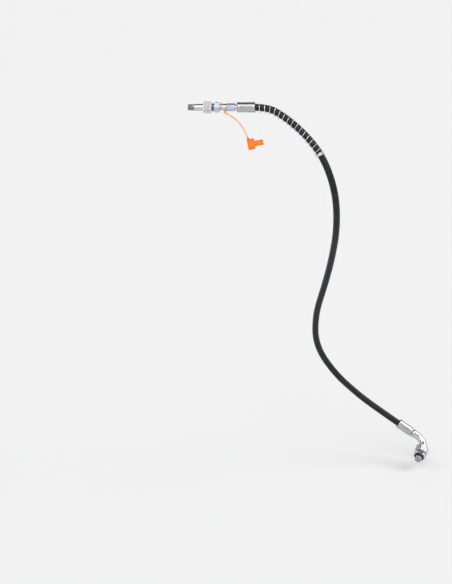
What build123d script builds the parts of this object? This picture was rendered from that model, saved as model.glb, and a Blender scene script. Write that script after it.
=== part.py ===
from build123d import *
import os
from math import cos, pi, radians, sin, tan

# A hydraulic hose assembly for a hand pump and a ram: a screw-together quick coupler with a
# check ball in each half, a wire-braided rubber hose with a spring guard, a tethered dust
# cap, and a swept elbow with a swivel nut and a sealed port adapter at the pump end.
# Millimetres. The origin is where the ram's port begins, +X runs along the coupler away from
# the ram, and +Z is up. Turned profiles are lists of (distance along the axis, radius).

# hose: three layers with a hair of room between them
HOSE_R = 7.0
COVER_IN_R = 5.85
BRAID_R = 5.8
BRAID_IN_R = 4.45
LINER_R = 4.4
BORE_R = 3.2

# the hose's route, corner by corner, from inside one ferrule to inside the other
HOSE_ROUTE = [
    (119, 0, 0),
    (139, 0, 0),
    (168, -1, -7.5),
    (219, -13, -45),
    (262, -30, -94),
    (288, -35, -166),
    (292, -4, -246),
    (283, 48, -322),
    (268, 101, -397),
    (248, 151, -477),
    (249, 190, -559),
    (290, 209, -629),
    (344, 215, -682),
    (393, 213, -719),
    (444, 210, -754),
]
ARC_SHARE = 0.45  # share of the shorter run that a corner's arc takes
COVER_IN_FERRULE = 6.0  # how far the cover goes into a ferrule's mouth
BRAID_IN_FERRULE = 30.0  # how far the skived braid and liner go in

# crimp ferrules, measured from the mouth
FERRULE_R = 10.65
FERRULE_LENGTH = 37.0
MOUTH_R = 7.15
CRIMP_R = 5.85
NECK_R = 5.5
TAIL_R = 3.15
FLOW_R = 2.0

# spring guard
GUARD_WIRE_R = 0.7
GUARD_R = 8.0
GUARD_OPEN_TURNS = 15
GUARD_PITCH = 10.8
GUARD_START = 9.0
GUARD_END_TURNS = 4
GUARD_END_PITCH = 1.5
GUARD_END_START = 166.0

# quick coupler, distances from the ram's port
PORT_R = 6.85
PORT_DEPTH = 11.0
STUB_R = 7.05
COLLAR_START = 20.2
COLLAR_END = 37.4
COLLAR_R = 12.25
COLLAR_FIT = 0.07  # running clearance of the collar on the stub and on the thread
THREAD_R = 8.5
RAM_FACE = 28.0
SOCKET_R = 4.75
SOCKET_BOTTOM = 19.5
PROBE_R = 4.6
SEAL_GROOVE_R = 6.3
PROBE_TIP = 19.8
HOSE_FACE = 28.3
HEX_START = 43.0
HEX_END = 53.2
COUPLER_HEX = 21.0
NIPPLE_HEX = 14.0
NIPPLE_HEX_START = 68.0
NIPPLE_HEX_END = 85.0
SHANK_R = 6.55
THROAT_R = 7.3
FERRULE_MOUTH = 125.0

# check valves: a ball lifted off the edge of a round seat, on each side of the joint
BALL_R = 2.8
SEAT_R = 2.63
SEAT_THICK = 1.0
BALL_LIFT = 0.75
CHAMBER_R = 3.8
PROBE_CHAMBER_R = 3.6
SPRING_WIRE_R = 0.45

# pump end: elbow, nut, adapter and bonded seal, along the port's axis from the elbow's corner
ELBOW_CORNER = 75.5
ELBOW_BEND_R = 22.0
ELBOW_R = 8.5
PORT_WAY = (-0.32, -0.85, -0.42)
SWIVEL_R = 9.0
NUT_GROOVE_R = 9.7
NUT_HEX = 26.0
NUT_START = 20.5
NUT_END = 38.0
UNION_R = 10.5
UNION_START = 30.5
ADAPTER_HEX = 24.0
ADAPTER_HEX_START = 40.5
SEAL_START = 49.0
SEAL_THICK = 2.0
PUMP_THREAD_R = 6.58
PUMP_THREAD_END = 62.0

# strap and dust cap
RING_R = 9.9
RING_WIRE_R = 1.1
RING_X = 60.3
RING_TILT = 28.0
STRAP_R = 1.25
STRAP_ROUTE = [
    (68.2, -5.6, -12),
    (78.5, -5.7, -18.2),
    (89.5, -4.8, -27),
    (99.5, -3.8, -39.5),
    (106, -2.9, -52),
    (108.6, -2.4, -59.4),
]
CAP_TILT = 10.0
CAP_MOUTH = (110, 0, -75.9)
CAP_R = 11.5
CAP_HEAD = 14.0
CAP_NOSE_R = 5.6
CAP_LENGTH = 31.5
STUD_ALONG = 2.2
STUD_OUT = 14.0
STUD_R = 1.0
EYELET_R = 2.2

os.makedirs("parts", exist_ok=True)


def corner_radii(route):
    """The radius of the arc at each corner of a route."""
    points = [Vector(p) for p in route]
    radii = []
    for before, corner, after in zip(points, points[1:], points[2:]):
        run_in = corner - before
        run_out = after - corner
        shorter = min(run_in.length, run_out.length)
        turn = radians(run_in.get_angle(run_out))
        radii.append(ARC_SHARE * shorter / tan(turn / 2))
    return radii


def axis_of(frame):
    """The axis that a frame's turned pieces share."""
    return Axis(frame.origin, frame.x_dir)


def across(frame, distance):
    """The plane square to a frame's axis, at a distance along it."""
    return Plane(frame.origin + frame.x_dir * distance, x_dir=frame.y_dir, z_dir=frame.x_dir)


def outline(points, frame):
    """A closed profile of (distance along the axis, radius) corners."""
    with BuildSketch(frame) as profile:
        with BuildLine():
            Polyline(*points, close=True)
        make_face()
    return profile.sketch


def tube_profile(frame, outer_r, inner_r):
    """The ring that a hose layer is swept from."""
    with BuildSketch(frame) as ring:
        Circle(outer_r)
        if inner_r:
            Circle(inner_r, mode=Mode.SUBTRACT)
    return ring.sketch


def hex_bar(frame, start, end, flats, turn=0):
    """A hexagon bar on a frame's axis with both ends turned to a chamfer."""
    corner_r = flats / 2 / cos(radians(30))
    bevel = corner_r - flats / 2
    with BuildPart() as bar:
        with BuildSketch(across(frame, start)):
            RegularPolygon(flats / 2, 6, major_radius=False, rotation=turn)
        extrude(amount=end - start)
        face_r = flats / 2 - 0.25
        barrel = [(start, 0), (start, face_r), (start + bevel * 0.6, corner_r)]
        barrel += [(end - bevel * 0.6, corner_r), (end, face_r), (end, 0)]
        revolve(outline(barrel, frame), axis=axis_of(frame), mode=Mode.INTERSECT)
    return bar.part


def write(piece, name):
    """Label a finished piece and write it to its own file."""
    piece.part.label = name
    export_step(piece.part, f"parts/{name}.step")


hose_points = [Vector(p) for p in HOSE_ROUTE]
hose_way_out = (hose_points[-1] - hose_points[-2]).normalized()
port_way = Vector(PORT_WAY)
port_way = (port_way - hose_way_out * port_way.dot(hose_way_out)).normalized()

COUPLER = Plane.XZ
RAM_MOUTH = Plane((FERRULE_MOUTH, 0, 0), x_dir=(-1, 0, 0), z_dir=(0, 1, 0))
pump_mouth_point = hose_points[-1] - hose_way_out * COVER_IN_FERRULE
PUMP_MOUTH = Plane(pump_mouth_point, x_dir=hose_way_out, z_dir=hose_way_out.cross(port_way))
port_corner = pump_mouth_point + hose_way_out * ELBOW_CORNER
PORT = Plane(port_corner, x_dir=port_way, z_dir=hose_way_out.cross(port_way))


def ram_coupler_body():
    """Female half: pipe thread, stub, ball chamber, seat and socket."""
    with BuildPart() as body:
        outside = [(-PORT_DEPTH, 0), (-PORT_DEPTH, PORT_R - 1), (1 - PORT_DEPTH, PORT_R)]
        outside += [(1.5, PORT_R), (1.9, 6.3), (2.8, 6.3), (3.2, STUB_R), (20.9, STUB_R)]
        outside += [(20.9, 6.5), (22.1, 6.5), (22.1, STUB_R), (24.5, STUB_R), (24.5, 8.2)]
        outside += [(RAM_FACE - 0.5, 8.2), (RAM_FACE, 7.7), (RAM_FACE, 0)]
        revolve(outline(outside, COUPLER), axis=Axis.X)
        seat = SOCKET_BOTTOM - SEAT_THICK
        inside = [(-PORT_DEPTH, 0), (-PORT_DEPTH, CHAMBER_R), (seat, CHAMBER_R), (seat, SEAT_R)]
        inside += [(SOCKET_BOTTOM, SEAT_R), (SOCKET_BOTTOM, SOCKET_R), (24.6, SOCKET_R)]
        inside += [(24.6, SEAL_GROOVE_R), (26.6, SEAL_GROOVE_R), (26.6, SOCKET_R), (RAM_FACE - 0.4, SOCKET_R)]
        inside += [(RAM_FACE, SOCKET_R + 0.4), (RAM_FACE, 0)]
        revolve(outline(inside, COUPLER), axis=Axis.X, mode=Mode.SUBTRACT)
    write(body, "ram_coupler_body")


def coupler_collar():
    """Knurled collar: rear lip that turns on the stub, threaded bore in front."""
    with BuildPart() as collar:
        lip_r = STUB_R + COLLAR_FIT
        bore_r = THREAD_R + COLLAR_FIT
        ring = [(COLLAR_START, 8.4), (COLLAR_START, COLLAR_R - 1)]
        ring += [(COLLAR_START + 1, COLLAR_R), (COLLAR_END - 1, COLLAR_R)]
        ring += [(COLLAR_END, COLLAR_R - 1), (COLLAR_END, bore_r + 0.5)]
        ring += [(COLLAR_END - 0.5, bore_r), (24.3, bore_r), (24.3, lip_r), (22.4, lip_r)]
        ring += [(22.4, 8.4)]
        revolve(outline(ring, COUPLER), axis=Axis.X)
    write(collar, "coupler_collar")


def collar_retaining_ring():
    """Split ring in the stub's groove, hidden in the collar's rear recess."""
    with BuildPart() as ring:
        revolve(outline([(21, 6.55), (22, 6.55), (22, 8), (21, 8)], COUPLER), axis=Axis.X)
        with BuildSketch(across(COUPLER, 21)):
            with Locations((0, -8)):
                Rectangle(3, 4)
        extrude(amount=1, mode=Mode.SUBTRACT)
    write(ring, "collar_retaining_ring")


def check_ball(name, x):
    """A check valve's steel ball."""
    with BuildPart() as ball:
        with Locations((x, 0, 0)):
            Sphere(BALL_R)
    write(ball, name)


def check_spring(name, start, end, turns):
    """The coil spring behind a check ball, both ends on its seats."""
    coil_r = BALL_R - SPRING_WIRE_R
    length = end - start - 2 * SPRING_WIRE_R
    with BuildPart() as spring:
        with BuildLine():
            helix_start = (start + SPRING_WIRE_R, 0, 0)
            coil = Helix(length / turns, length, coil_r, center=helix_start, direction=(1, 0, 0))
        with BuildSketch(Plane(coil @ 0, z_dir=coil % 0)):
            Circle(SPRING_WIRE_R)
        sweep(path=coil, is_frenet=True)
    write(spring, name)


def spring_retainer(name, start, end, outer_r):
    """Hollow screw that a check spring pushes against, slotted across its outer face."""
    with BuildPart() as screw:
        ring = [(start, FLOW_R), (start, outer_r), (end, outer_r), (end, FLOW_R)]
        revolve(outline(ring, COUPLER), axis=Axis.X)
        slot_face = start if start < 0 else end
        with BuildSketch(across(COUPLER, slot_face)):
            Rectangle(1.2, 4 * outer_r)
        extrude(amount=1 if start < 0 else -1, mode=Mode.SUBTRACT)
    write(screw, name)


def socket_seal():
    """O-ring that seals the probe in the socket."""
    section_r = 0.75
    with BuildPart() as ring:
        with BuildSketch(COUPLER):
            with Locations((25.6, SOCKET_R + section_r)):
                Circle(section_r)
        revolve(axis=Axis.X)
    write(ring, "socket_seal")


def hose_coupler_body():
    """Male half: probe with seat, external thread, hexagon and the nipple's female port."""
    with BuildPart() as body:
        add(hex_bar(COUPLER, HEX_START, HEX_END, COUPLER_HEX, turn=22))
        front = [(PROBE_TIP, 0), (PROBE_TIP, PROBE_R - 0.5), (PROBE_TIP + 0.5, PROBE_R)]
        front += [(HOSE_FACE, PROBE_R), (HOSE_FACE, THREAD_R - 0.8)]
        front += [(HOSE_FACE + 0.8, THREAD_R), (HEX_START - 1.2, THREAD_R)]
        front += [(HEX_START - 0.8, THREAD_R - 0.6), (HEX_START, THREAD_R - 0.6), (HEX_START, 0)]
        revolve(outline(front, COUPLER), axis=Axis.X)
        seat = PROBE_TIP + SEAT_THICK
        inside = [(PROBE_TIP, 0), (PROBE_TIP, SEAT_R), (seat, SEAT_R), (seat, PROBE_CHAMBER_R)]
        inside += [(45, PROBE_CHAMBER_R), (45, SHANK_R + 0.05), (HEX_END - 0.6, SHANK_R + 0.05)]
        inside += [(HEX_END, SHANK_R + 0.65), (HEX_END, 0)]
        revolve(outline(inside, COUPLER), axis=Axis.X, mode=Mode.SUBTRACT)
    write(body, "hose_coupler_body")


def barbed_tail(frame):
    """The grooved stem that goes into the hose's bore behind a ferrule, with its neck."""
    profile = [(4, 0), (4, TAIL_R - 0.4)]
    for barb in range(6):
        start = 4.5 + 4 * barb
        profile += [(start, TAIL_R), (start + 3, TAIL_R), (start + 3, TAIL_R - 0.4)]
        profile += [(start + 3.6, TAIL_R - 0.4)]
    profile += [(BRAID_IN_FERRULE + 0.3, TAIL_R - 0.4), (BRAID_IN_FERRULE + 0.3, CRIMP_R - 0.1)]
    profile += [(33.2, CRIMP_R - 0.1), (33.2, 4.8), (35.8, 4.8), (35.8, NECK_R), (40.5, NECK_R)]
    profile += [(40.5, 0)]
    with BuildPart() as tail:
        revolve(outline(profile, frame), axis=axis_of(frame))
    return tail.part


def hose_end_nipple():
    """Ram end of the hose: pipe thread, plain neck for the strap's ring, hexagon, barbed tail."""
    with BuildPart() as nipple:
        add(hex_bar(COUPLER, NIPPLE_HEX_START, NIPPLE_HEX_END, NIPPLE_HEX, turn=48))
        shank = [(46, 0), (46, SHANK_R - 0.8), (46.8, SHANK_R), (54.8, SHANK_R)]
        shank += [(55.6, THROAT_R), (67.5, THROAT_R), (NIPPLE_HEX_START, 6.9)]
        shank += [(NIPPLE_HEX_START, 0)]
        revolve(outline(shank, COUPLER), axis=Axis.X)
        add(barbed_tail(RAM_MOUTH))
        tail_end = FERRULE_MOUTH - 4
        bore = [(46, 0), (46, FLOW_R), (tail_end, FLOW_R), (tail_end, 0)]
        revolve(outline(bore, COUPLER), axis=Axis.X, mode=Mode.SUBTRACT)
    write(nipple, "hose_end_nipple")


def crimp_ferrule(name, frame):
    """Crimped steel sleeve: bell mouth over the cover, grip on the braid, lip in the neck."""
    wall = [(0.9, FERRULE_R), (FERRULE_LENGTH - 1.6, FERRULE_R), (FERRULE_LENGTH, FERRULE_R - 1.6)]
    wall += [(FERRULE_LENGTH, NECK_R + 0.05), (35.8, NECK_R + 0.05), (35.8, 4.85)]
    wall += [(33.25, 4.85), (33.25, CRIMP_R), (7.2, CRIMP_R), (7.2, MOUTH_R), (0.9, MOUTH_R)]
    wall += [(0, MOUTH_R + 0.6), (0, FERRULE_R - 0.9)]
    with BuildPart() as ferrule:
        revolve(outline(wall, frame), axis=axis_of(frame))
    write(ferrule, name)


def hose_path(end_depth):
    """The hose's centre line, run on straight into both ferrules to a depth."""
    extra = end_depth - COVER_IN_FERRULE
    first = hose_points[0] + (hose_points[0] - hose_points[1]).normalized() * extra
    last = hose_points[-1] + hose_way_out * extra
    corners = [first, *hose_points[1:-1], last]
    with BuildLine() as line:
        FilletPolyline(*corners, radius=corner_radii(HOSE_ROUTE))
    return line.wires()[0]


def hose_layer(name, outer_r, inner_r, end_depth):
    """One layer of the hose, swept along straight runs and tangent arcs."""
    path = hose_path(end_depth)
    start = Plane(path @ 0, z_dir=path % 0)
    with BuildPart() as layer:
        sweep(tube_profile(start, outer_r, inner_r), path=path)
    write(layer, name)
    section = pi * (outer_r**2 - inner_r**2)
    print(name, "length", round(path.length, 1), end=" ")
    print("volume over section", round(layer.part.volume / section, 1))


def spring_guard():
    """The guard's turns round the hose: open turns, then a few closed ones at its end."""
    path = hose_path(COVER_IN_FERRULE)
    along = [GUARD_START + GUARD_PITCH * turn for turn in range(GUARD_OPEN_TURNS)]
    along += [GUARD_END_START + GUARD_END_PITCH * turn for turn in range(GUARD_END_TURNS)]
    with BuildPart() as guard:
        for distance in along:
            share = (distance + COVER_IN_FERRULE) / path.length
            with Locations(Plane(path @ share, z_dir=path % share)):
                Torus(GUARD_R, GUARD_WIRE_R)
    write(guard, "spring_guard")
    print("spring guard reaches", round(along[-1] + GUARD_WIRE_R, 1), "from the ferrule")


def pump_elbow():
    """Pump end of the hose: barbed tail, swept tube and the head that the nut turns on."""
    bend_start = ELBOW_CORNER - ELBOW_BEND_R
    with BuildPart() as elbow:
        add(barbed_tail(PUMP_MOUTH))
        collar = [(38.5, 0), (38.5, 8.6), (39.5, 9.6), (44, 9.6), (45, 8.9), (45, 0)]
        revolve(outline(collar, PUMP_MOUTH), axis=axis_of(PUMP_MOUTH))
        with BuildLine(PUMP_MOUTH) as sweep_line:
            Line((44, 0), (bend_start, 0))
            RadiusArc((bend_start, 0), (ELBOW_CORNER, ELBOW_BEND_R), -ELBOW_BEND_R)
            Line((ELBOW_CORNER, ELBOW_BEND_R), (ELBOW_CORNER, 23))
        swept_line = sweep_line.wires()[0]
        sweep(tube_profile(across(PUMP_MOUTH, 44), ELBOW_R, 0), path=swept_line)
        head = [(22, 0), (22, ELBOW_R), (22.8, SWIVEL_R), (24.4, SWIVEL_R), (24.4, 8.4)]
        head += [(25.6, 8.4), (25.6, SWIVEL_R), (28.5, SWIVEL_R), (28.8, 7.4), (32.5, 5.2)]
        head += [(32.5, 0)]
        revolve(outline(head, PORT), axis=axis_of(PORT))
        tail_bore = [(4, 0), (4, FLOW_R), (44, FLOW_R), (44, 0)]
        revolve(outline(tail_bore, PUMP_MOUTH), axis=axis_of(PUMP_MOUTH), mode=Mode.SUBTRACT)
        sweep(tube_profile(across(PUMP_MOUTH, 44), FLOW_R, 0), path=swept_line, mode=Mode.SUBTRACT)
        head_bore = [(22.9, 0), (22.9, FLOW_R), (32.5, FLOW_R), (32.5, 0)]
        revolve(outline(head_bore, PORT), axis=axis_of(PORT), mode=Mode.SUBTRACT)
    write(elbow, "pump_elbow")


def nut_retaining_wire():
    """Wire ring, half in the elbow's groove and half in the nut's."""
    with BuildPart() as wire:
        with BuildSketch(PORT):
            with Locations((25, SWIVEL_R + 0.05)):
                Circle(0.45)
        revolve(axis=axis_of(PORT))
    write(wire, "nut_retaining_wire")


def pump_swivel_nut():
    """Hexagon nut that turns on the elbow's head and screws onto the adapter."""
    with BuildPart() as nut:
        add(hex_bar(PORT, NUT_START, NUT_END, NUT_HEX, turn=10))
        turn_r = SWIVEL_R + COLLAR_FIT
        inside = [(NUT_START, 0), (NUT_START, turn_r + 0.4), (NUT_START + 0.4, turn_r)]
        inside += [(24.4, turn_r), (24.4, NUT_GROOVE_R), (25.6, NUT_GROOVE_R), (25.6, turn_r)]
        inside += [(29.5, turn_r)]
        inside += [(29.5, UNION_R + COLLAR_FIT), (NUT_END - 0.6, UNION_R + COLLAR_FIT)]
        inside += [(NUT_END, UNION_R + 0.6), (NUT_END, 0)]
        revolve(outline(inside, PORT), axis=axis_of(PORT), mode=Mode.SUBTRACT)
    write(nut, "pump_swivel_nut")


def pump_adapter():
    """Port adapter: coned union end in the nut, hexagon, and the thread for the pump."""
    seal_end = SEAL_START + SEAL_THICK
    with BuildPart() as adapter:
        add(hex_bar(PORT, ADAPTER_HEX_START, SEAL_START, ADAPTER_HEX, turn=17))
        turned = [(UNION_START, 0), (UNION_START, UNION_R - 0.6), (UNION_START + 0.6, UNION_R)]
        turned += [(39, UNION_R), (39.4, 9.6), (ADAPTER_HEX_START + 1, 9.6)]
        turned += [(ADAPTER_HEX_START + 1, 6.2), (seal_end + 0.4, 6.2)]
        turned += [(seal_end + 0.8, PUMP_THREAD_R), (PUMP_THREAD_END - 1, PUMP_THREAD_R)]
        turned += [(PUMP_THREAD_END, PUMP_THREAD_R - 1), (PUMP_THREAD_END, 0)]
        revolve(outline(turned, PORT), axis=axis_of(PORT))
        cone = [(UNION_START, 0), (UNION_START, 7.2), (36, 3.6), (36, FLOW_R)]
        cone += [(PUMP_THREAD_END, FLOW_R), (PUMP_THREAD_END, 0)]
        revolve(outline(cone, PORT), axis=axis_of(PORT), mode=Mode.SUBTRACT)
    write(adapter, "pump_adapter")


def port_seal():
    """Bonded seal under the adapter's hexagon: steel washer and the rubber in its bore."""
    start = SEAL_START + 0.02
    end = SEAL_START + SEAL_THICK
    with BuildPart() as washer:
        ring = [(start, 8), (start, 11.2), (end, 11.2), (end, 8)]
        revolve(outline(ring, PORT), axis=axis_of(PORT))
    write(washer, "seal_washer")
    with BuildPart() as rubber:
        lip = [(start, 6.4), (start, 7.95), (end - 0.3, 7.95), (end, 7.5), (end, 6.8)]
        revolve(outline(lip, PORT), axis=axis_of(PORT))
    write(rubber, "seal_rubber")


def strap_ring():
    """Plastic ring round the nipple's neck, with the lug that the strap leaves."""
    tilt = radians(RING_TILT)
    lug_plane = Plane((63.4, -5.4, -8.9), x_dir=(0.82, -0.05, -0.57), z_dir=(0.05, 1, 0))
    with BuildPart() as ring:
        with Locations(Plane((RING_X, 0, 0), z_dir=(cos(tilt), 0, sin(tilt)))):
            Torus(RING_R, RING_WIRE_R)
        with BuildSketch(lug_plane):
            with Locations((3.1, 0)):
                SlotOverall(9, 4.2)
        extrude(amount=1.7, both=True)
    write(ring, "strap_ring")


def cap_strap():
    """Thin round strap between the ring's lug and the eyelet."""
    radii = corner_radii(STRAP_ROUTE)
    with BuildPart() as strap:
        with BuildLine() as line:
            FilletPolyline(*STRAP_ROUTE, radius=radii)
        path = line.wires()[0]
        sweep(tube_profile(Plane(path @ 0, z_dir=path % 0), STRAP_R, 0), path=path)
    write(strap, "cap_strap")
    print("strap length", round(path.length, 1), "radii", [round(r) for r in radii])


CAP = Plane(
    CAP_MOUTH,
    x_dir=(cos(radians(CAP_TILT)), 0, sin(radians(CAP_TILT))),
    z_dir=(0, -1, 0),
)
stud_point = CAP.from_local_coords(Vector(STUD_ALONG, STUD_OUT, 0))


def strap_eyelet():
    """Eyelet at the strap's end, loose on the cap's stud."""
    with BuildPart() as eyelet:
        with BuildSketch(Plane(stud_point + Vector(0, -1.3, 0), z_dir=(0, -1, 0))):
            Circle(EYELET_R)
            Circle(STUD_R + COLLAR_FIT, mode=Mode.SUBTRACT)
        extrude(amount=2.2)
    write(eyelet, "strap_eyelet")


def dust_cap():
    """Dust cap: a head over the thread, a nose over the probe, and an ear with its stud."""
    with BuildPart() as cap:
        shell = [(0, 0), (0, CAP_R - 0.6), (0.6, CAP_R), (2.2, CAP_R), (2.6, CAP_R - 0.4)]
        shell += [(CAP_HEAD - 1.2, CAP_R - 0.7), (CAP_HEAD, CAP_R - 1.9)]
        shell += [(CAP_HEAD, CAP_NOSE_R - 0.1), (CAP_LENGTH - 2.5, CAP_NOSE_R)]
        shell += [(CAP_LENGTH - 2, CAP_NOSE_R + 0.3), (CAP_LENGTH - 0.4, CAP_NOSE_R + 0.3)]
        shell += [(CAP_LENGTH, CAP_NOSE_R - 0.1), (CAP_LENGTH, 4.3), (CAP_LENGTH - 3, 3.9)]
        shell += [(CAP_LENGTH - 3, 0)]
        revolve(outline(shell, CAP), axis=axis_of(CAP))
        with BuildSketch(CAP):
            with BuildLine():
                Polyline((0.4, 9.5), (0.4, STUD_OUT), (STUD_ALONG, STUD_OUT + 1.8), (4, STUD_OUT))
                Polyline((4, STUD_OUT), (5, 9.5), (0.4, 9.5))
            make_face()
        extrude(amount=1, both=True)
        with BuildSketch(CAP):
            with Locations((STUD_ALONG, STUD_OUT)):
                Circle(STUD_R)
        extrude(amount=4)
        with BuildSketch(CAP.offset(3.8)):
            with Locations((STUD_ALONG, STUD_OUT)):
                Circle(1.8)
        extrude(amount=0.9)
        inside = [(0, 0), (0, 9.3), (0.5, 8.8), (12.6, 8.8), (12.6, 4.75), (26, 4.75)]
        inside += [(27.5, 3.5), (27.5, 0)]
        revolve(outline(inside, CAP), axis=axis_of(CAP), mode=Mode.SUBTRACT)
    write(cap, "dust_cap")


ram_coupler_body()
coupler_collar()
collar_retaining_ring()
socket_seal()
seat_offset = (BALL_R**2 - SEAT_R**2) ** 0.5
ram_ball_x = SOCKET_BOTTOM - SEAT_THICK - seat_offset - BALL_LIFT
hose_ball_x = PROBE_TIP + SEAT_THICK + seat_offset + BALL_LIFT
check_ball("ram_check_ball", ram_ball_x)
check_ball("hose_check_ball", hose_ball_x)
spring_retainer("ram_spring_retainer", -PORT_DEPTH, -7, CHAMBER_R - 0.05)
spring_retainer("hose_spring_retainer", 40, 43.5, PROBE_CHAMBER_R - 0.05)
check_spring("ram_check_spring", -6.95, ram_ball_x - 1.9, 8)
check_spring("hose_check_spring", hose_ball_x + 1.9, 39.95, 6)
hose_coupler_body()
hose_end_nipple()
crimp_ferrule("crimp_ferrule_ram", RAM_MOUTH)
hose_layer("hose_cover", HOSE_R, COVER_IN_R, COVER_IN_FERRULE)
hose_layer("hose_braid", BRAID_R, BRAID_IN_R, BRAID_IN_FERRULE)
hose_layer("hose_liner", LINER_R, BORE_R, BRAID_IN_FERRULE)
spring_guard()
crimp_ferrule("crimp_ferrule_pump", PUMP_MOUTH)
pump_elbow()
nut_retaining_wire()
pump_swivel_nut()
pump_adapter()
port_seal()
strap_ring()
cap_strap()
strap_eyelet()
dust_cap()
print("hose corner radii", [round(r) for r in corner_radii(HOSE_ROUTE)])
print("port corner", port_corner, "port way", port_way, "stud", stud_point)
print("check balls at", round(ram_ball_x, 3), round(hose_ball_x, 3))
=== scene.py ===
from bisect import bisect_right
from math import cos, exp, pi, radians, sin

import bpy
from mathutils import Matrix, Vector


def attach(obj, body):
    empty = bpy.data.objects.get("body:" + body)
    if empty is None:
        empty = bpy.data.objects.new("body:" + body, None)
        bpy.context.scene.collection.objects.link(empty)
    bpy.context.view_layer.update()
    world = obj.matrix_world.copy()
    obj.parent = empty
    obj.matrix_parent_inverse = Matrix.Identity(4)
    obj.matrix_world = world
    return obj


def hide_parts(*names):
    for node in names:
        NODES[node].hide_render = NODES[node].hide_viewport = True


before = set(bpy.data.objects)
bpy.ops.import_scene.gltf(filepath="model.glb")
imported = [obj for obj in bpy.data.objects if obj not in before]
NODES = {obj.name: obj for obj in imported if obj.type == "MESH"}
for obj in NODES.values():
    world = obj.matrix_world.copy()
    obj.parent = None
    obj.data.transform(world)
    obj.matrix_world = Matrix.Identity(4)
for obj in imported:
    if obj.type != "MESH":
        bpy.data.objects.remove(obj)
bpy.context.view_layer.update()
MM = 0.001
FULL_TURN = 2 * pi

# ---------------------------------------------------------------- camera
# The origin of the frame is the ram's port; the camera stands 2.8 m in front of it.
AZIMUTH = radians(4.0)
ELEVATION = radians(15.2)
ROLL = radians(-0.64)
CAMERA_PLACE = Vector((0.2550, -2.7599, 0.3660))
LENS = 84.6

back = Vector((sin(AZIMUTH) * cos(ELEVATION), -cos(AZIMUTH) * cos(ELEVATION), sin(ELEVATION)))
level = Vector((cos(AZIMUTH), sin(AZIMUTH), 0))
upright = back.cross(level)
right = level * cos(ROLL) + upright * sin(ROLL)
up = upright * cos(ROLL) - level * sin(ROLL)
camera = bpy.data.objects.new("camera", bpy.data.cameras.new("camera"))
bpy.context.scene.collection.objects.link(camera)
axes = Matrix((right, up, back)).transposed().to_4x4()
camera.matrix_world = Matrix.Translation(CAMERA_PLACE) @ axes
camera.data.lens = LENS
camera.data.sensor_width = 36
camera.data.clip_start = 0.05
camera.data.clip_end = 60
bpy.context.scene.camera = camera

# ---------------------------------------------------------------- the cords' routes
# The control points of the hose's and the strap's lines, in metres, as they are in the CAD.
HOSE_R = 0.007
HOSE_ROUTE = [
    (0.119, 0, 0),
    (0.139, 0, 0),
    (0.168, -0.001, -0.0075),
    (0.219, -0.013, -0.045),
    (0.262, -0.030, -0.094),
    (0.288, -0.035, -0.166),
    (0.292, -0.004, -0.246),
    (0.283, 0.048, -0.322),
    (0.268, 0.101, -0.397),
    (0.248, 0.151, -0.477),
    (0.249, 0.190, -0.559),
    (0.290, 0.209, -0.629),
    (0.344, 0.215, -0.682),
    (0.393, 0.213, -0.719),
    (0.444, 0.210, -0.754),
]
STRAP_ROUTE = [
    (0.0682, -0.0056, -0.012),
    (0.0785, -0.0057, -0.0182),
    (0.0895, -0.0048, -0.027),
    (0.0995, -0.0038, -0.0395),
    (0.106, -0.0029, -0.052),
    (0.1086, -0.0024, -0.0594),
]
UPWARD = (0, 0, 1)


def spline_points(route, steps):
    """The points of the smooth NURBS line that has a route as its control points."""
    curve = bpy.data.curves.new("route", "CURVE")
    curve.dimensions = "3D"
    spline = curve.splines.new("NURBS")
    spline.points.add(len(route) - 1)
    for point, place in zip(spline.points, route):
        point.co = (*place, 1)
    spline.order_u = 3
    spline.use_endpoint_u = True
    spline.resolution_u = steps
    holder = bpy.data.objects.new("route", curve)
    bpy.context.scene.collection.objects.link(holder)
    bpy.context.view_layer.update()
    line = bpy.data.meshes.new_from_object(holder)
    points = [vertex.co.copy() for vertex in line.vertices]
    bpy.data.objects.remove(holder)
    bpy.data.meshes.remove(line)
    return points


def distances(points):
    """How far along a line each of its points is."""
    along = [0.0]
    for a, b in zip(points, points[1:]):
        along.append(along[-1] + (b - a).length)
    return along


def frames_along(points, first_side):
    """The point, side and other side at each point of a line, without twist."""
    result = []
    side = Vector(first_side)
    for i, point in enumerate(points):
        tangent = (points[min(i + 1, len(points) - 1)] - points[max(i - 1, 0)]).normalized()
        side = (side - tangent * side.dot(tangent)).normalized()
        result.append((point, side, tangent.cross(side)))
    return result


def curved(points, first_side):
    """A function from a distance along a line to its point, side and other side there."""
    along = distances(points)
    frames = frames_along(points, first_side)

    def place(distance):
        i = min(max(bisect_right(along, distance) - 1, 0), len(points) - 2)
        share = (distance - along[i]) / (along[i + 1] - along[i])
        return tuple(a.lerp(b, share) for a, b in zip(frames[i], frames[i + 1]))

    return place


def straight(origin, axis, side):
    """A function like curved's for a straight axis, in millimetres."""
    axis = Vector(axis).normalized()
    side = Vector(side)
    side = (side - axis * side.dot(axis)).normalized()
    other = axis.cross(side)
    return lambda distance: (Vector(origin) + axis * distance, side, other)


SHARP_ANGLE = radians(32)  # edges that turn by more are sharp


def new_piece(name, shape, finish, body, replaced=()):
    """A mesh piece with its material, riding on a body and standing for its CAD nodes."""
    vertices, faces, uvs, grooves = shape
    mesh = bpy.data.meshes.new(name)
    mesh.from_pydata(vertices, [], faces)
    layer = mesh.uv_layers.new(name="UVMap")
    layer.data.foreach_set("uv", [value for corner in uvs for value in corner])
    groove = mesh.attributes.new("groove", "FLOAT", "POINT")
    groove.data.foreach_set("value", grooves)
    mesh.shade_smooth()
    mesh.set_sharp_from_angle(angle=SHARP_ANGLE)
    mesh.materials.append(finish)
    piece = bpy.data.objects.new(name, mesh)
    bpy.context.scene.collection.objects.link(piece)
    bpy.context.view_layer.update()
    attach(piece, body)
    if replaced:
        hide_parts(*replaced)
    return piece


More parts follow.
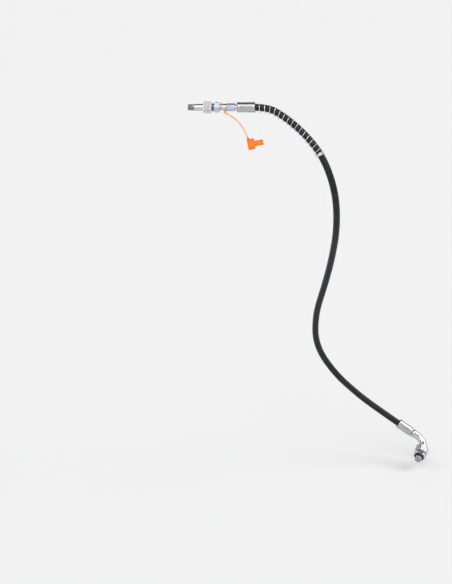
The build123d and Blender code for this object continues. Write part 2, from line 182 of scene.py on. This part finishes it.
def ring_shape(rings, grooves, closed):
    """Rings of points joined into a skin: a loop of rings, or a tube with its ends closed.

    Its UV map is in metres: u goes round the piece and v along it. A groove value for each
    point goes with it.
    """
    count = len(rings[0])
    vertices = [point for ring in rings for point in ring]
    along = [0.0]
    for a, b in zip(rings, rings[1:]):
        along.append(along[-1] + (b[0] - a[0]).length)
    girth = max(sum((ring[i] - ring[i - 1]).length for i in range(count)) for ring in rings)
    faces = []
    uvs = []
    pairs = list(zip(range(len(rings)), range(1, len(rings))))
    if closed:
        pairs.append((len(rings) - 1, 0))
    for a, b in pairs:
        v0 = along[a]
        v1 = along[b] if b else along[a] + (rings[0][0] - rings[a][0]).length
        for i in range(count):
            j = (i + 1) % count
            faces.append((a * count + i, a * count + j, b * count + j, b * count + i))
            u0 = girth * i / count
            u1 = girth * (i + 1) / count
            uvs += [(u0, v0), (u1, v0), (u1, v1), (u0, v1)]
    if not closed:
        for ring in (0, len(rings) - 1):
            corners = list(range(ring * count, ring * count + count))
            faces.append(corners if ring else corners[::-1])
            uvs += [(0.0, along[ring])] * count
    return vertices, faces, uvs, grooves


def circle(centre, side, other, radius, sides, start=0.0, scale=1.0):
    """Points round a centre, in the plane of two sides; radius may depend on the angle."""
    points = []
    for i in range(sides):
        angle = start + FULL_TURN * i / sides
        r = radius(angle) if callable(radius) else radius
        points.append((centre + (side * cos(angle) + other * sin(angle)) * r) * scale)
    return points


def tube(name, points, radius, finish, body, replaced, sides):
    """A round tube along a line of points in metres."""
    rings = [circle(*there, radius, sides) for there in frames_along(points, UPWARD)]
    shape = ring_shape(rings, [0.0] * (sides * len(rings)), False)
    return new_piece(name, shape, finish, body, replaced)


# ---------------------------------------------------------------- turned pieces
# A turned piece is a loop of stations (distance along the axis, radius), first along its
# outside and then back along its bore, in millimetres. Where it has grooves, a third and a
# fourth value are the radius of their crest and the depth at which their painted shade is darkest.
SOLID = 0.02  # the radius that closes a piece with no bore


def turned(name, place, stations, finish, body, replaced=(), sides=96, start=0):
    """A piece of revolution, with hexagons, threads, knurls and crimps among its stations."""
    rings = []
    grooves = []
    for distance, radius, *painted_shade in stations:
        there = place(distance)
        points = circle(*there, radius, sides, radians(start), MM)
        rings.append(points)
        # the third and fourth values darken the piece with painted shade towards the bottom of its
        # grooves
        if painted_shade:
            crest, depth = painted_shade
            radii = [(point - there[0] * MM).length / MM for point in points]
            grooves += [min(1, max(0, (crest - r) / depth)) for r in radii]
        else:
            grooves += [0.0] * sides
    return new_piece(name, ring_shape(rings, grooves, True), finish, body, replaced)


def hexagon(start, end, flats, turn):
    """Stations of a hexagon with chamfered ends and slightly broken corners."""
    sixth = FULL_TURN / 6
    steps = 6
    corner_r = flats / 2 / cos(sixth / 2)
    broken_r = corner_r * 0.988
    bevel = (corner_r - flats / 2) * 0.6
    face_r = flats / 2 - 0.25

    def limited(cap):
        def radius(angle):
            away = (angle - radians(turn)) % sixth - sixth / 2
            return min(flats / 2 / cos(away), broken_r, cap)
        return radius

    shares = [k / steps for k in range(steps + 1)]
    rise = [(start + bevel * k, limited(face_r + (corner_r - face_r) * k)) for k in shares]
    fall = [(end - bevel * k, limited(face_r + (corner_r - face_r) * k)) for k in reversed(shares)]
    return rise + fall


def thread(start, end, crest, depth, pitch, taper=0.0):
    """Stations of a right-hand thread, whose radius falls by its taper towards its start."""
    steps_per_pitch = 10
    flat = 0.15  # how much of a flank's rise the crest and the root each cut off
    count = round((end - start) / pitch * steps_per_pitch)

    def at(x):
        top = crest - taper * (end - x)
        limit = crest - depth + min(x - start, end - x)

        def radius(angle):
            phase = (x / pitch - angle / FULL_TURN) % 1
            flank = min(1, max(0, abs(2 * phase - 1) * (1 + 2 * flat) - flat))
            return min(top - depth * flank, limit)
        return radius

    places = [start + (end - start) * k / count for k in range(count + 1)]
    return [(x, at(x), crest - taper * (end - x), depth) for x in places]


def knurl(start, end, crest, depth, count, slope):
    """Stations of a diamond knurl: two sets of crossing grooves that fade at its ends."""
    step = 0.2
    run_out = 0.5
    steps = round((end - start) / step)

    def at(x):
        fade = min(1, (x - start) / run_out, (end - x) / run_out)

        def radius(angle):
            turn = angle * count / FULL_TURN
            one = abs(2 * ((turn + x * slope) % 1) - 1)
            two = abs(2 * ((turn - x * slope) % 1) - 1)
            return crest - depth * fade * max(one, two)
        return radius

    places = [start + (end - start) * k / steps for k in range(steps + 1)]
    # the depth at which the painted shade in the knurl's grooves is darkest
    shade_depth = depth * 1.3
    return [(x, at(x), crest, shade_depth) for x in places]


def crimped(start, end, outer, depth, jaws):
    """Stations of a crimp: flat lands with a low ridge where two jaws of the press met."""
    steps = 24
    shoulder = 1 / 12  # the share of the crimp in which it reaches its depth
    ridge = 0.8  # how much of the depth a ridge keeps
    ridge_width = 0.06  # a share of a land's width

    def at(share):
        window = min(1, share / shoulder, (1 - share) / shoulder)
        window = window * window * (3 - 2 * window)

        def radius(angle):
            away = (angle * jaws / FULL_TURN) % 1 - 0.5
            pressed = 1 - ridge * exp(-((away / ridge_width) ** 2))
            return outer - depth * window * pressed
        return radius

    return [(start + (end - start) * k / steps, at(k / steps)) for k in range(steps + 1)]


# The axes that pieces are turned about, in millimetres. A mouth is the end of a ferrule that
# the hose goes into, and its axis points away from the hose's middle.
MOUTH_X = 125
COUPLER = straight((0, 0, 0), (1, 0, 0), (0, 0, 1))
RAM_MOUTH = straight((MOUTH_X, 0, 0), (-1, 0, 0), (0, 0, 1))
HOSE_IN_FERRULE = 6
HOSE_END = Vector((444, 210, -754))
HOSE_WAY = Vector((51, -3, -35)).normalized()
PORT_WAY = Vector((-0.32, -0.85, -0.42))
PORT_WAY = (PORT_WAY - HOSE_WAY * PORT_WAY.dot(HOSE_WAY)).normalized()
MOUTH_POINT = HOSE_END - HOSE_WAY * HOSE_IN_FERRULE
PUMP_MOUTH = straight(MOUTH_POINT, HOSE_WAY, PORT_WAY)
CORNER = 75.5  # from the mouth to where the elbow's two straight axes would meet
CORNER_POINT = MOUTH_POINT + HOSE_WAY * CORNER
PORT = straight(CORNER_POINT, PORT_WAY, -HOSE_WAY)
BEND_R = 22
BEND_START = CORNER - BEND_R
BEND_END = BEND_START + BEND_R * pi / 2
BORE = 2.0
BARB_R = 3.15
STEM_R = 2.75
STEM_START = 4


def elbow_place(distance):
    """The elbow's own axis: straight from the hose, round the bend, and on towards the port."""
    normal = HOSE_WAY.cross(PORT_WAY)
    if distance < BEND_START:
        return MOUTH_POINT + HOSE_WAY * distance, normal, HOSE_WAY.cross(normal)
    turn = min(pi / 2, (distance - BEND_START) / BEND_R)
    way = HOSE_WAY * cos(turn) + PORT_WAY * sin(turn)
    point = MOUTH_POINT + HOSE_WAY * (BEND_START + BEND_R * sin(turn))
    point = point + PORT_WAY * (BEND_R * (1 - cos(turn)) + max(0, distance - BEND_END))
    return point, normal, way.cross(normal)


def tail():
    """The barbed stem in the hose's bore and the neck behind the ferrule, from the mouth."""
    barbs = 6
    pitch = 4
    stations = [(STEM_START, STEM_R)]
    for barb in range(barbs):
        first = STEM_START + 0.5 + pitch * barb
        last = first + 3
        stations += [(first, BARB_R), (last, BARB_R), (last, STEM_R), (last + 0.6, STEM_R)]
    stations += [(30.3, STEM_R), (30.3, 5.75), (33.2, 5.75), (33.2, 4.8), (35.8, 4.8), (35.8, 5.5)]
    return stations


# ---------------------------------------------------------------- materials
def material_of(name, colour, metallic, roughness):
    """A new node material and its shader; the caller adds the detail."""
    material = bpy.data.materials.new(name)
    material.use_nodes = True
    shader = material.node_tree.nodes["Principled BSDF"]
    shader.inputs["Base Color"].default_value = (*colour, 1)
    shader.inputs["Metallic"].default_value = metallic
    shader.inputs["Roughness"].default_value = roughness
    return material, shader


def node(owner, kind, **values):
    """A node of a material or the world, its settings and its sockets set by name."""
    made = owner.node_tree.nodes.new(kind)
    for key, value in values.items():
        if hasattr(made, key):
            setattr(made, key, value)
        else:
            made.inputs[key.replace("_", " ")].default_value = value
    return made


def link(owner, source, output, target, entry):
    """A link between two nodes of a material or the world."""
    owner.node_tree.links.new(source.outputs[output], target.inputs[entry])


def ramp(owner, stops):
    """A colour ramp from (position, colour) stops."""
    made = owner.node_tree.nodes.new("ShaderNodeValToRGB")
    elements = made.color_ramp.elements
    while len(elements) < len(stops):
        elements.new(0.5)
    for element, (position, colour) in zip(elements, stops):
        element.position = position
        element.color = (*colour, 1)
    return made


def scaled(material, space, scale):
    """Coordinates from an output of Texture Coordinate, stretched by a scale."""
    coordinates = node(material, "ShaderNodeTexCoord")
    mapping = node(material, "ShaderNodeMapping")
    mapping.inputs["Scale"].default_value = scale
    link(material, coordinates, space, mapping, "Vector")
    return mapping


UNSCALED = (1, 1, 1)


def mottled(material, shader, noise_scale, colours, roughness):
    """Colour and roughness that drift over the surface: the nodes of the noise and the colour."""
    place = scaled(material, "Object", UNSCALED)
    cloud = node(material, "ShaderNodeTexNoise", Scale=noise_scale, Detail=5, Roughness=0.6)
    link(material, place, "Vector", cloud, "Vector")
    tint = ramp(material, colours)
    link(material, cloud, "Fac", tint, "Fac")
    link(material, tint, "Color", shader, "Base Color")
    shine = node(material, "ShaderNodeMapRange", From_Min=0.3, From_Max=0.7)
    shine.inputs["To Min"].default_value = roughness[0]
    shine.inputs["To Max"].default_value = roughness[1]
    link(material, cloud, "Fac", shine, "Value")
    link(material, shine, "Result", shader, "Roughness")
    return {"cloud": cloud, "tint": tint}


def bumped(material, shader, source, output, strength, distance):
    """A node's output as the surface's bump, with its height in metres."""
    bump = node(material, "ShaderNodeBump", Strength=strength, Distance=distance)
    link(material, source, output, bump, "Height")
    link(material, bump, "Normal", shader, "Normal")
    return bump


PLATE_CLOUDS = 160
PAINTED_GROOVE_SHADE = (0.20, 0.19, 0.18)  # painted shade: the plate's colour is multiplied by it in the deepest grooves
UNSHADED = (1, 1, 1)
MARKS_HEIGHT = 0.00006


def plated(name, light, dark, roughness, stretch, space="UV"):
    """Plated steel: an uneven plate, the rings a lathe leaves, and painted shade in its grooves.
    """
    material, shader = material_of(name, light, 1.0, roughness[0])
    colours = [(0.3, dark), (0.68, light)]
    drift = mottled(material, shader, PLATE_CLOUDS, colours, roughness)
    # painted shade: the plate's colour is darkened towards the bottom of its grooves, by how deep
    # they are
    groove = node(material, "ShaderNodeAttribute", attribute_name="groove")
    shade = node(material, "ShaderNodeMix", data_type="RGBA", blend_type="MULTIPLY")
    painted_shade = ramp(material, [(0.25, UNSHADED), (0.95, PAINTED_GROOVE_SHADE)])
    link(material, groove, "Fac", painted_shade, "Fac")
    # a Mix node has sockets of one name for each data type: its colours are 6, 7 and 2
    shade.inputs[0].default_value = 1
    link(material, drift["tint"], "Color", shade, 6)
    link(material, painted_shade, "Color", shade, 7)
    link(material, shade, 2, shader, "Base Color")
    rings = scaled(material, space, stretch)
    marks = node(material, "ShaderNodeTexNoise", Scale=1.0, Detail=3, Roughness=0.7)
    link(material, rings, "Vector", marks, "Vector")
    bumped(material, shader, marks, "Fac", 0.4, MARKS_HEIGHT)
    return material


# how the marks are stretched: rings of a lathe, lines along a drawn wire, or an even grain
LATHE = (60, 4200, 1)
DRAWN = (1500, 60, 1)
GRAIN = (700, 700, 700)
ZINC = plated("zinc_plate", (0.66, 0.66, 0.66), (0.52, 0.52, 0.53), (0.16, 0.28), LATHE)
BLUE_ZINC = plated("blue_zinc", (0.58, 0.64, 0.70), (0.44, 0.50, 0.56), (0.18, 0.32), LATHE)
FERRULE = plated("ferrule_plate", (0.54, 0.53, 0.51), (0.42, 0.41, 0.40), (0.18, 0.28), LATHE)
COLLAR = plated("collar_plate", (0.96, 0.96, 0.95), (0.84, 0.84, 0.84), (0.42, 0.55), LATHE)
PUMP_ZINC = plated("pump_zinc", (0.64, 0.66, 0.66), (0.50, 0.53, 0.54), (0.14, 0.26), LATHE)
WIRE = plated("guard_wire_steel", (0.88, 0.88, 0.89), (0.74, 0.75, 0.77), (0.24, 0.36), DRAWN)


def small_steel(name, light, dark, roughness):
    """The plated steel of a CAD node, which has no UV map."""
    return plated(name, light, dark, roughness, GRAIN, "Object")


WIRE_SMALL = small_steel("spring_wire", (0.80, 0.80, 0.81), (0.64, 0.65, 0.67), (0.2, 0.34))
ZINC_SMALL = small_steel("zinc_screw", (0.66, 0.66, 0.66), (0.52, 0.52, 0.53), (0.22, 0.36))
BALL = small_steel("ball_steel", (0.78, 0.78, 0.79), (0.7, 0.7, 0.72), (0.06, 0.12))
DARK_WASHER = small_steel("washer_steel", (0.10, 0.10, 0.11), (0.05, 0.05, 0.055), (0.35, 0.5))


WAVE_PHASE = {"X": 20, "Y": 20, "DIAGONAL": 10}  # of a wave texture, for each metre


def bands(material, place, direction, count, profile="SIN"):
    """Parallel bands, a whole number of them round the hose."""
    scale = count * FULL_TURN / (WAVE_PHASE[direction] * FULL_TURN * HOSE_R)
    made = node(material, "ShaderNodeTexWave", wave_type="BANDS", Scale=scale)
    made.wave_profile = profile
    made.bands_direction = direction
    made.inputs["Distortion"].default_value = 0.3
    link(material, place, "Vector", made, "Vector")
    return made


CLOTH_THREADS = 56  # round the hose, and as close along it
TAPE_EDGES = 2


def hose_rubber():
    """Black rubber that keeps the print of the cloth it was cured in, and the tape's edges."""
    material, shader = material_of("hose_rubber", (0.012, 0.013, 0.017), 0.0, 0.42)
    shader.inputs["Specular IOR Level"].default_value = 0.28
    colours = [(0.28, (0.005, 0.0055, 0.009)), (0.72, (0.013, 0.014, 0.021))]
    mottled(material, shader, 120, colours, (0.30, 0.42))
    place = scaled(material, "UV", UNSCALED)
    weave = node(material, "ShaderNodeMath", operation="MULTIPLY")
    link(material, bands(material, place, "X", CLOTH_THREADS), "Fac", weave, 0)
    link(material, bands(material, place, "Y", CLOTH_THREADS), "Fac", weave, 1)
    print_bump = bumped(material, shader, weave, "Value", 0.5, 0.00009)
    tape = bands(material, place, "DIAGONAL", TAPE_EDGES, "SAW")
    tape_bump = node(material, "ShaderNodeBump", Strength=0.5, Distance=0.00025)
    link(material, tape, "Fac", tape_bump, "Height")
    link(material, tape_bump, "Normal", print_bump, "Normal")
    return material


def soft_plastic(name, light, dark, roughness, depth):
    """Moulded soft plastic that lets a little light through, to a depth in metres."""
    material, shader = material_of(name, light, 0.0, roughness)
    colours = [(0.35, dark), (0.65, light)]
    drift = mottled(material, shader, 130, colours, (roughness, roughness + 0.14))
    shader.inputs["Subsurface Weight"].default_value = 0.15
    shader.inputs["Subsurface Radius"].default_value = (1.0, 0.45, 0.18)
    shader.inputs["Subsurface Scale"].default_value = depth
    shader.inputs["Specular IOR Level"].default_value = 0.35
    bumped(material, shader, drift["cloud"], "Fac", 0.12, 0.0002)
    return material


def plain_rubber(name, colour):
    """Matt moulded rubber, a little greyer in places."""
    material, shader = material_of(name, colour, 0.0, 0.5)
    lighter = tuple(c * 1.8 + 0.006 for c in colour)
    drift = mottled(material, shader, 400, [(0.3, colour), (0.7, lighter)], (0.42, 0.6))
    bumped(material, shader, drift["cloud"], "Fac", 0.2, 0.0001)
    return material


def braid():
    """Bands of steel wires, for the layer that the cover hides."""
    material, shader = material_of("braid_wire", (0.6, 0.6, 0.6), 1.0, 0.35)
    place = scaled(material, "Object", UNSCALED)
    wires = node(material, "ShaderNodeTexWave", wave_type="BANDS", Scale=260)
    wires.bands_direction = "DIAGONAL"
    link(material, place, "Vector", wires, "Vector")
    tint = ramp(material, [(0.2, (0.28, 0.28, 0.29)), (0.8, (0.7, 0.7, 0.71))])
    link(material, wires, "Fac", tint, "Fac")
    link(material, tint, "Color", shader, "Base Color")
    bumped(material, shader, wires, "Fac", 0.5, 0.0003)
    return material


HOSE = hose_rubber()
STRAP = soft_plastic("strap_plastic", (1.0, 0.48, 0.20), (0.95, 0.34, 0.11), 0.34, 0.003)
CAP_PLASTIC = soft_plastic("cap_plastic", (1.0, 0.27, 0.002), (0.93, 0.19, 0.0), 0.30, 0.001)
SEAL = plain_rubber("seal_rubber", (0.012, 0.012, 0.013))
BRAID = braid()

# ---------------------------------------------------------------- hose, strap and spring guard
HOSE_LINE = spline_points(HOSE_ROUTE, 40)
STRAP_LINE = spline_points(STRAP_ROUTE, 16)
STRAP_R = 0.00125
GUARD_R = 0.0090
GUARD_SAG = 0.0013  # the coil rests on the hose and hangs a little below it
GUARD_WIRE_R = 0.0007
FERRULE_MOUTH = HOSE_IN_FERRULE * MM  # how far along the hose's line it is
GUARD_START = 0.001  # from the mouth, as are the next places
FIRST_STRAND = 0.009  # where the first turn crosses the front
CLOSED_FROM = 0.1652
GUARD_PITCH = 0.0108
CLOSED_PITCH = 0.0015
CLOSED_TURNS = 4
STEPS_PER_TURN = 28


def guard_points():
    """The guard's wire: open turns from the ferrule's mouth, then close turns at its end."""
    place = curved(HOSE_LINE, UPWARD)
    front = 0.25  # of a turn from the top
    first_turn = front - (FIRST_STRAND - GUARD_START) / GUARD_PITCH
    open_turns = (CLOSED_FROM - GUARD_START) / GUARD_PITCH
    steps = round((open_turns + CLOSED_TURNS) * STEPS_PER_TURN)
    points = []
    for k in range(steps + 1):
        turn = k / STEPS_PER_TURN
        distance = GUARD_START + GUARD_PITCH * min(turn, open_turns)
        distance += CLOSED_PITCH * max(0, turn - open_turns)
        point, side, other = place(FERRULE_MOUTH + distance)
        angle = FULL_TURN * (first_turn + turn)
        coil = (side * cos(angle) + other * sin(angle)) * GUARD_R
        points.append(point + coil - side * GUARD_SAG)
    return points


cover = tube(
    "hose_tube", HOSE_LINE, HOSE_R, HOSE, "hose", ["hose_cover"], sides=48
)
guard = tube(
    "guard_wire", guard_points(), GUARD_WIRE_R, WIRE, "hose",
    ["spring_guard"], sides=10,
)
strap = tube(
    "strap_cord", STRAP_LINE, STRAP_R, STRAP, "strap", ["cap_strap"], sides=16
)

# ---------------------------------------------------------------- coupler
PIPE_PITCH = 1.411  # the tapered thread in the ram, 18 to the inch
PIPE_TAPER = 0.03
COUPLER_PITCH = 1.5
PORT_PITCH = 1.337  # the straight thread in the pump, 19 to the inch
SEAT_R = 2.63  # the hole that a check ball closes

turned(
    "ram_coupler", COUPLER,
    [(-11, 5.2)] + thread(-10.8, 1.5, 6.85, 0.7, PIPE_PITCH, PIPE_TAPER)
    + [(1.9, 6.15), (2.8, 6.15), (3.2, 6.8), (3.5, 7.05), (20.9, 7.05), (20.9, 6.5)]
    + [(22.1, 6.5), (22.1, 7.05), (24.5, 7.05), (24.5, 8.2), (27.5, 8.2), (28, 7.7)]
    + [(28, 5.15), (27.6, 4.75), (26.6, 4.75), (26.6, 6.3), (24.6, 6.3), (24.6, 4.75)]
    + [(19.5, 4.75), (19.5, SEAT_R), (18.5, SEAT_R), (18.5, 3.8), (-11, 3.8)],
    ZINC, "ram_half", ["ram_coupler_body"],
)
turned(
    "knurled_collar", COUPLER,
    [(20.2, 8.4), (20.2, 11.0), (20.35, 11.35), (21.1, 12.0)]
    + knurl(21.3, 36.3, 12.22, 0.42, count=64, slope=0.62)
    + [(36.5, 12.0), (37.25, 11.35), (37.4, 11.0), (37.4, 9.1), (36.9, 8.57), (24.3, 8.57)]
    + [(24.3, 7.12), (22.4, 7.12), (22.4, 8.4)],
    COLLAR, "collar", ["coupler_collar"], sides=384,
)
turned(
    "hose_coupler", COUPLER,
    [(19.8, 4.1), (20.3, 4.6), (28.3, 4.6), (28.3, 7.6)]
    + thread(28.5, 41.9, 8.5, 0.9, COUPLER_PITCH)
    + [(42.2, 7.7), (43, 7.7)] + hexagon(43, 53.2, flats=21, turn=22)
    + [(53.2, 7.2), (52.6, 6.6), (45, 6.6), (45, 3.6), (20.8, 3.6)]
    + [(20.8, SEAT_R), (19.8, SEAT_R)],
    BLUE_ZINC, "hose", ["hose_coupler_body"], sides=120, start=22,
)
turned(
    "hose_nipple", COUPLER,
    [(46, BORE), (46, 5.75), (46.8, 6.55), (54.8, 6.55), (55.1, 6.95), (55.6, 7.3)]
    + [(67.4, 7.3), (67.8, 7.1), (68, 6.75)] + hexagon(68, 85, flats=14, turn=48)
    + [(85, 5.5)] + [(MOUTH_X - distance, radius) for distance, radius in reversed(tail())]
    + [(MOUTH_X - STEM_START, BORE)],
    BLUE_ZINC, "hose", ["hose_end_nipple"], sides=120, start=48,
)

# ---------------------------------------------------------------- ferrules and pump end
SLEEVE = (
    [(0, 7.75), (0, 9.75), (0.25, 10.35), (0.9, 10.6), (2.2, 10.65)]
    + crimped(3.2, 33.2, 10.65, depth=0.32, jaws=8)
    + [(34.2, 10.65), (35.3, 10.6), (36.2, 10.1), (37, 9.1), (37, 5.55), (35.8, 5.55)]
    + [(35.8, 4.85), (33.25, 4.85), (33.25, 5.85), (7.2, 5.85), (7.2, 7.15), (0.9, 7.15)]
)
turned(
    "ferrule_ram", RAM_MOUTH, SLEEVE, FERRULE, "hose",
    ["crimp_ferrule_ram"], sides=144,
)
turned(
    "ferrule_pump", PUMP_MOUTH, SLEEVE, FERRULE, "hose",
    ["crimp_ferrule_pump"], sides=144,
)


def past_bend(distance):
    """The distance along the elbow for one along the port's axis from the corner."""
    return BEND_END + distance - BEND_R


ELBOW_R = 8.5
BEND_STEPS = 30
BEND = [BEND_START + (BEND_END - BEND_START) * k / BEND_STEPS for k in range(BEND_STEPS + 1)]
turned(
    "swept_elbow", elbow_place,
    tail()
    + [(38.5, 5.5), (38.5, 8.6), (38.8, 9.2), (39.5, 9.6), (44, 9.6), (44.7, 9.2)]
    + [(45, ELBOW_R)] + [(distance, ELBOW_R) for distance in BEND]
    + [(past_bend(distance), radius) for distance, radius in (
        (22.2, ELBOW_R), (22.8, 9), (24.4, 9), (24.4, 8.4), (25.6, 8.4), (25.6, 9), (28.5, 9),
        (28.8, 7.4), (32.5, 5.2), (32.5, BORE))]
    + [(distance, BORE) for distance in reversed(BEND)] + [(STEM_START, BORE)],
    PUMP_ZINC, "hose", ["pump_elbow"], sides=72,
)
turned(
    "swivel_nut", PORT,
    hexagon(20.5, 38, flats=26, turn=10)
    + [(38, 11.1), (37.4, 10.57), (29.5, 10.57), (29.5, 9.07), (25.6, 9.07), (25.6, 9.7)]
    + [(24.4, 9.7), (24.4, 9.07), (20.9, 9.07), (20.5, 9.47)],
    PUMP_ZINC, "swivel_nut", ["pump_swivel_nut"], sides=120, start=10,
)
turned(
    "port_adapter", PORT,
    [(30.5, 9.9), (31.1, 10.5), (39, 10.5), (39.4, 9.6), (40.5, 9.6)]
    + hexagon(40.5, 49, flats=24, turn=17)
    + [(49, 6.2), (51.4, 6.2)] + thread(51.5, 62, 6.58, 0.8, PORT_PITCH)
    + [(62, BORE), (36, BORE), (36, 3.6), (30.5, 7.2)],
    PUMP_ZINC, "adapter", ["pump_adapter"], sides=120, start=17,
)

# ---------------------------------------------------------------- dust cap
TILT = radians(10)
CAP = straight((110, 0, -75.9), (cos(TILT), 0, sin(TILT)), (-sin(TILT), 0, cos(TILT)))
RIBS = 40


def ribbed(low, high):
    """Radius of the head's finger grip: shallow ribs along the cap."""
    return lambda angle: low + (high - low) * (0.5 + 0.5 * cos(RIBS * angle)) ** 2


turned(
    "orange_cap", CAP,
    [(0, 9.3), (0, 10.9), (0.15, 11.3), (0.6, 11.5), (2.1, 11.5), (2.5, 11.3), (2.7, 10.75)]
    + [(3.2, ribbed(10.75, 11.1)), (12.2, ribbed(10.65, 11.0)), (12.7, 10.7), (13.4, 10.4)]
    + [(13.9, 9.7), (14, 9.2), (14, 5.75), (14.3, 5.55), (29, 5.6), (29.4, 5.85), (30.9, 5.9)]
    + [(31.4, 5.7), (31.5, 5.3), (31.5, 4.3), (28.5, 3.9), (28.5, SOLID), (27.5, SOLID)]
    + [(27.5, 3.5), (26, 4.75), (12.6, 4.75), (12.6, 8.8), (0.5, 8.8)],
    CAP_PLASTIC, "cap", ["dust_cap"], sides=240,
)


EAR_MIDDLE = 2.2  # along the cap's axis
EAR_FOOT = 11  # the height from that axis below which the ear isn't rounded
STUD_HEIGHT = 14


def cap_ear():
    """The ear that the strap's eyelet hangs on: an outline with rounded faces."""
    outline = [(0.4, 10.2), (0.4, 13.6), (0.9, 15.0), (EAR_MIDDLE, 15.8), (3.4, 15.0)]
    outline += [(4.2, 13.4), (5, 10.2)]
    rings = []
    for across, shrink in ((-1, 0.35), (-0.65, 0), (0.65, 0), (1, 0.35)):
        points = []
        for distance, height in outline:
            inward = (distance < EAR_MIDDLE) - (distance > EAR_MIDDLE)
            distance += shrink * inward
            height -= shrink if height > EAR_FOOT else 0
            point, side, _ = CAP(distance)
            points.append((point + side * height + Vector((0, across, 0))) * MM)
        rings.append(points)
    return ring_shape(rings, [0.0] * (4 * len(outline)), False)


new_piece("cap_ear", cap_ear(), CAP_PLASTIC, "cap")
ear_point, ear_up, _ = CAP(EAR_MIDDLE)
STUD_POINT = ear_point + ear_up * STUD_HEIGHT
turned(
    "cap_stud", straight(STUD_POINT, (0, -1, 0), (1, 0, 0)),
    [(0.5, SOLID), (0.5, 1), (3.8, 1), (3.85, 1.6), (4.1, 1.8), (4.4, 1.75), (4.7, 1.2)]
    + [(4.7, SOLID)],
    CAP_PLASTIC, "cap", sides=32,
)

STRAP_END = Vector(STRAP_ROUTE[-1]) / MM
EYELET = STUD_POINT + Vector((0, -2.4, 0))
turned(
    "strap_neck", straight(STRAP_END, EYELET - STRAP_END, (0, 1, 0)),
    [(-3.6, SOLID), (-3.6, 1.2), (-2.6, 1.31), (-0.6, 1.34), (0.5, 1.25), (1.1, 1.0)]
    + [(1.3, 0.7), (1.3, SOLID)],
    STRAP, "strap", sides=32,
)

# ---------------------------------------------------------------- CAD nodes that are shown
FINISHES = {
    "collar_retaining_ring": WIRE_SMALL,
    "socket_seal": SEAL,
    "ram_check_ball": BALL,
    "hose_check_ball": BALL,
    "ram_spring_retainer": ZINC_SMALL,
    "hose_spring_retainer": ZINC_SMALL,
    "ram_check_spring": WIRE_SMALL,
    "hose_check_spring": WIRE_SMALL,
    "hose_braid": BRAID,
    "hose_liner": SEAL,
    "nut_retaining_wire": WIRE_SMALL,
    "seal_washer": DARK_WASHER,
    "seal_rubber": SEAL,
    "strap_ring": STRAP,
    "strap_eyelet": STRAP,
}
for name, finish in FINISHES.items():
    if not NODES[name].data.materials:
        NODES[name].data.materials.append(None)
    for entry in NODES[name].material_slots:
        entry.link = "OBJECT"
        entry.material = finish

# ---------------------------------------------------------------- floor and light
FLOOR_PLACE = (0.25, 0.1, -0.845)
FAR = 60
corners = [(-FAR, -FAR, 0), (FAR, -FAR, 0), (FAR, FAR, 0), (-FAR, FAR, 0)]
floor_mesh = bpy.data.meshes.new("floor")
floor_mesh.from_pydata(corners, [], [(0, 1, 2, 3)])
floor = bpy.data.objects.new("floor", floor_mesh)
floor.location = FLOOR_PLACE
bpy.context.scene.collection.objects.link(floor)
paint, paint_shader = material_of("floor_paint", (0.92, 0.92, 0.92), 0.0, 0.9)
paint_shader.inputs["Specular IOR Level"].default_value = 0.1
floor_mesh.materials.append(paint)

# The studio's walls are as pale as its floor at the bottom, and its ceiling is dark.
WALL_GREYS = ((0.06, 0.87), (0.2, 0.66), (0.85, 0.16))  # (height of the direction, grey)
BLUER = 1.02
world = bpy.data.worlds.new("studio")
bpy.context.scene.world = world
world.use_nodes = True
walls = world.node_tree.nodes["Background"]
looking = node(world, "ShaderNodeTexCoord")
height = node(world, "ShaderNodeSeparateXYZ")
shade = ramp(world, [(place, (grey, grey, grey * BLUER)) for place, grey in WALL_GREYS])
link(world, looking, "Generated", height, "Vector")
link(world, height, "Z", shade, "Fac")
link(world, shade, "Color", walls, "Color")


def sun(name, direction, spread, power):
    """A far light that comes from a direction, as soft as its spread in degrees."""
    lamp = bpy.data.lights.new(name, "SUN")
    lamp.energy = power
    lamp.angle = radians(spread)
    light = bpy.data.objects.new(name, lamp)
    light.rotation_euler = Vector(direction).to_track_quat("Z", "Y").to_euler()
    bpy.context.scene.collection.objects.link(light)


sun("right", (1.0, -0.1, 0.9), 40, 1.25)
sun("left", (-1.0, -0.1, 1.2), 40, 0.4)
sun("front", (0.0, -1.0, 1.0), 50, 1.3)
bpy.context.scene.view_settings.view_transform = "Standard"
